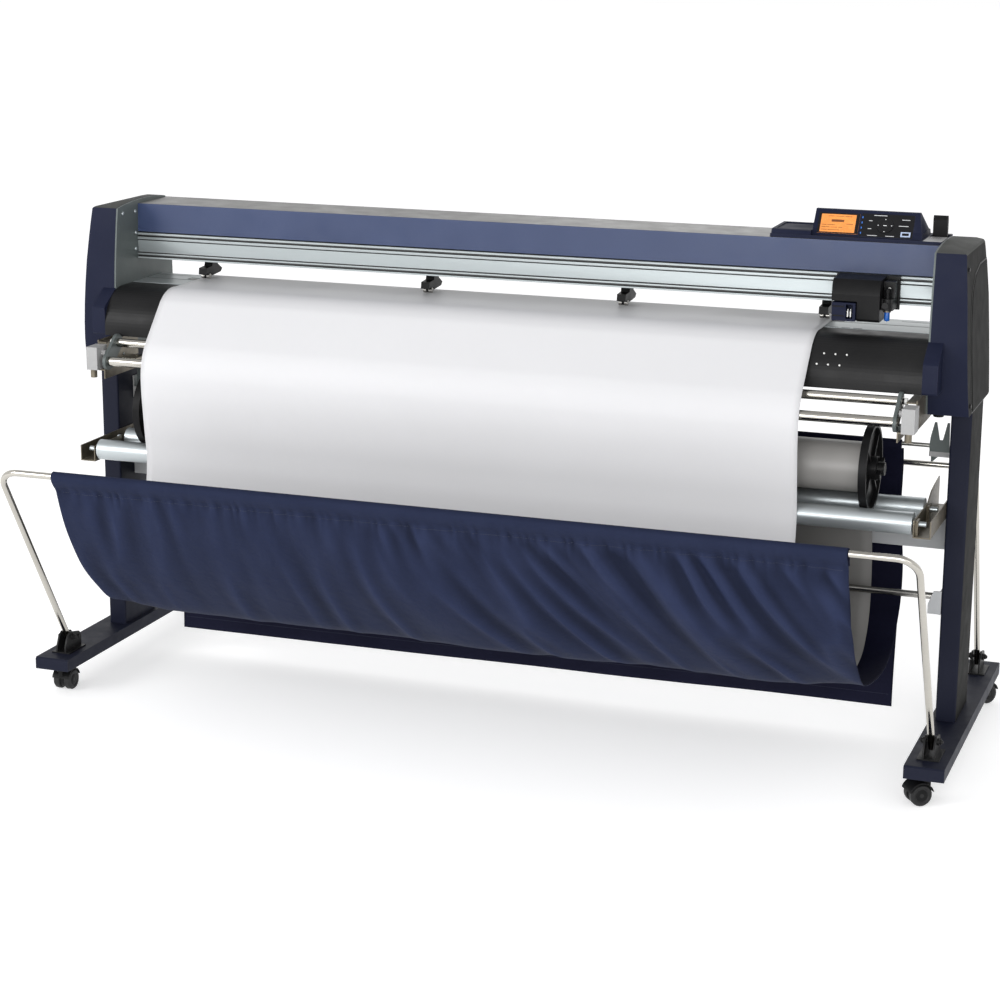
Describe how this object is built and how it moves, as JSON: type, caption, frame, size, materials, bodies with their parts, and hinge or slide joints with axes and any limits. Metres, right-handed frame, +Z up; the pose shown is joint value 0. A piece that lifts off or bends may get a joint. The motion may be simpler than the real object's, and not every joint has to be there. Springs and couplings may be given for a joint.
{
  "type": "wide-format vinyl cutting plotter",
  "caption": "Roll-fed wide-format vinyl cutter on a castored T-leg stand, with cutting carriage, pinch rollers, roll holder and a cloth catch basket.",
  "frame": {"origin": "centre of the outline on the floor", "axes": "+X to the right seen from the front, +Y to the back, +Z up"},
  "size_m": [2.2565, 1.0338, 1.2495],
  "materials": {
    "navy_paint": "satin",
    "navy_plastic": "satin",
    "grey_panel": "satin",
    "light_panel": "satin",
    "fascia_paint": "satin",
    "champagne_panel": "satin",
    "grey_beam": "satin",
    "zinc": "satin",
    "dark_steel": "satin",
    "chrome": "polished",
    "steel": "satin",
    "aluminium": "satin anodised",
    "black_plastic": "matte",
    "black_paint": "satin",
    "tyre": "matte",
    "cloth": "woven",
    "vinyl_white": "satin",
    "vinyl_grey": "satin",
    "screen": "lit",
    "key_grey": "satin",
    "key_light": "satin",
    "tool_blue": "gloss",
    "roller_metal": "satin"
  },
  "bodies": {
    "stand": {"feet": "navy_paint", "legs": "navy_paint", "cross_beam": "grey_beam", "basket_frame_front": "chrome", "basket_frame_rear": "chrome", "basket_brackets": "black_paint", "basket_rod_rear": "steel", "basket_rod_mid": "steel", "rear_rod_brackets": "dark_steel", "mid_rod_brackets": "grey_beam", "basket_cloth": "cloth", "roller_channels": "zinc", "roll_tail": "vinyl_grey", "guide_plates": "dark_steel", "guide_boxes": "light_panel", "guide_brackets": "zinc", "side_cover_left": "navy_plastic", "side_cover_right": "navy_plastic", "side_panels": "grey_panel", "cover_screws": "black_paint", "side_frames": "dark_steel", "top_panel": "champagne_panel", "fascia": "fascia_paint", "y_rail": "aluminium", "platen": "aluminium", "front_guide": "black_paint", "rear_guide": "black_paint", "media_web": "vinyl_white", "console": "navy_plastic", "display": "screen", "keypad": "key_grey", "power_inlet": "black_plastic"},
    "caster_fl": {"caster_fl_fork": "black_plastic"},
    "wheels_fl": {"caster_fl_wheels": "tyre"},
    "caster_fr": {"caster_fr_fork": "black_plastic"},
    "wheels_fr": {"caster_fr_wheels": "tyre"},
    "caster_rl": {"caster_rl_fork": "black_plastic"},
    "wheels_rl": {"caster_rl_wheels": "tyre"},
    "caster_rr": {"caster_rr_fork": "black_plastic"},
    "wheels_rr": {"caster_rr_wheels": "tyre"},
    "media": {"media_roll": "vinyl_grey", "roll_flanges": "black_plastic"},
    "roller_front": {"stock_roller_front": "roller_metal"},
    "roller_rear": {"stock_roller_rear": "roller_metal"},
    "rod_upper": {"guide_rod_upper": "chrome"},
    "rod_lower": {"guide_rod_lower": "chrome"},
    "carriage": {"carriage_plate": "black_paint", "carriage_cover": "black_plastic", "cross_cutter": "navy_plastic"},
    "tool": {"tool_holder": "black_paint", "blade_holder": "tool_blue"},
    "lever": {"media_lever": "black_plastic"},
    "pinch_lift": {"pinch_arms": "black_plastic", "lift_shaft": "steel"},
    "pinch_rolls": {"pinch_rollers": "steel"},
    "grit": {"grit_shaft": "steel"},
    "nav_key_body": {"nav_key": "key_grey"},
    "enter_key_body": {"enter_key": "key_grey"},
    "ring_key_body": {"ring_key": "key_light"},
    "switch": {"power_switch": "black_plastic"}
  },
  "joints": [
    {"name": "swivel_fl", "type": "hinge", "parent": "stand", "child": "caster_fl", "pos_m": [-1.082, -0.2515, 0.08], "axis": [0, 0, 1], "continuous": true},
    {"name": "roll_fl", "type": "hinge", "parent": "caster_fl", "child": "wheels_fl", "pos_m": [-1.082, -0.2315, 0.025], "axis": [1, 0, 0], "continuous": true},
    {"name": "swivel_fr", "type": "hinge", "parent": "stand", "child": "caster_fr", "pos_m": [1.082, -0.2515, 0.08], "axis": [0, 0, 1], "continuous": true},
    {"name": "roll_fr", "type": "hinge", "parent": "caster_fr", "child": "wheels_fr", "pos_m": [1.06542, -0.26268, 0.025], "axis": [-0.5592, 0.829, 0], "continuous": true},
    {"name": "swivel_rl", "type": "hinge", "parent": "stand", "child": "caster_rl", "pos_m": [-1.082, 0.4685, 0.08], "axis": [0, 0, 1], "continuous": true},
    {"name": "roll_rl", "type": "hinge", "parent": "caster_rl", "child": "wheels_rl", "pos_m": [-1.09014, 0.48677, 0.025], "axis": [0.9135, 0.4067, 0], "continuous": true},
    {"name": "swivel_rr", "type": "hinge", "parent": "stand", "child": "caster_rr", "pos_m": [1.082, 0.4685, 0.08], "axis": [0, 0, 1], "continuous": true},
    {"name": "roll_rr", "type": "hinge", "parent": "caster_rr", "child": "wheels_rr", "pos_m": [1.09376, 0.48468, 0.025], "axis": [0.809, -0.5878, 0], "continuous": true},
    {"name": "media_turn", "type": "hinge", "parent": "stand", "child": "media", "pos_m": [0, -0.0765, 0.70431], "axis": [1, 0, 0], "continuous": true},
    {"name": "roller_front_turn", "type": "hinge", "parent": "stand", "child": "roller_front", "pos_m": [0, -0.1475, 0.6035], "axis": [1, 0, 0], "continuous": true},
    {"name": "roller_rear_turn", "type": "hinge", "parent": "stand", "child": "roller_rear", "pos_m": [0, -0.0055, 0.6035], "axis": [1, 0, 0], "continuous": true},
    {"name": "rod_upper_turn", "type": "hinge", "parent": "stand", "child": "rod_upper", "pos_m": [0, -0.1285, 0.871], "axis": [1, 0, 0], "continuous": true},
    {"name": "rod_lower_turn", "type": "hinge", "parent": "stand", "child": "rod_lower", "pos_m": [0, -0.1765, 0.833], "axis": [1, 0, 0], "continuous": true},
    {"name": "carriage_slide", "type": "slide", "parent": "stand", "child": "carriage", "axis": [1, 0, 0], "range_m": [-1.76, 0.08]},
    {"name": "tool_lift", "type": "slide", "parent": "carriage", "child": "tool", "axis": [0, 0, 1], "range_m": [-0.022, 0.004]},
    {"name": "lever_turn", "type": "hinge", "parent": "stand", "child": "lever", "pos_m": [0.984, 0.1785, 1.15], "axis": [1, 0, 0], "range_deg": [-25, 0]},
    {"name": "pinch_lift_turn", "type": "hinge", "parent": "stand", "child": "pinch_lift", "pos_m": [0, 0.1675, 1.062], "axis": [1, 0, 0], "range_deg": [-7, 0]},
    {"name": "grit_turn", "type": "hinge", "parent": "stand", "child": "grit", "pos_m": [0, 0.1335, 0.9816], "axis": [1, 0, 0], "continuous": true},
    {"name": "pinch_roll_turn", "type": "hinge", "parent": "pinch_lift", "child": "pinch_rolls", "pos_m": [0, 0.1335, 1.004], "axis": [1, 0, 0], "continuous": true},
    {"name": "nav_key_press", "type": "slide", "parent": "stand", "child": "nav_key_body", "axis": [0, 0.8281, -0.5606], "range_m": [0, 0.0015], "stiffness_N_per_m": 400, "springref_m": -0.0005},
    {"name": "enter_key_press", "type": "slide", "parent": "stand", "child": "enter_key_body", "axis": [0, 0.8281, -0.5606], "range_m": [0, 0.0015], "stiffness_N_per_m": 400, "springref_m": -0.0005},
    {"name": "ring_key_press", "type": "slide", "parent": "stand", "child": "ring_key_body", "axis": [0, 0.8281, -0.5606], "range_m": [0, 0.0015], "stiffness_N_per_m": 400, "springref_m": -0.0005},
    {"name": "power_rock", "type": "hinge", "parent": "stand", "child": "switch", "pos_m": [1.052, 0.2485, 1], "axis": [1, 0, 0], "range_deg": [-12, 0]}
  ],
  "couplings": [
    {"joint": "roller_front_turn", "follows": "media_turn", "ratio": -3.92},
    {"joint": "roller_rear_turn", "follows": "media_turn", "ratio": -3.92},
    {"joint": "pinch_lift_turn", "follows": "lever_turn", "ratio": 0.28},
    {"joint": "pinch_roll_turn", "follows": "grit_turn", "ratio": -2}
  ]
}
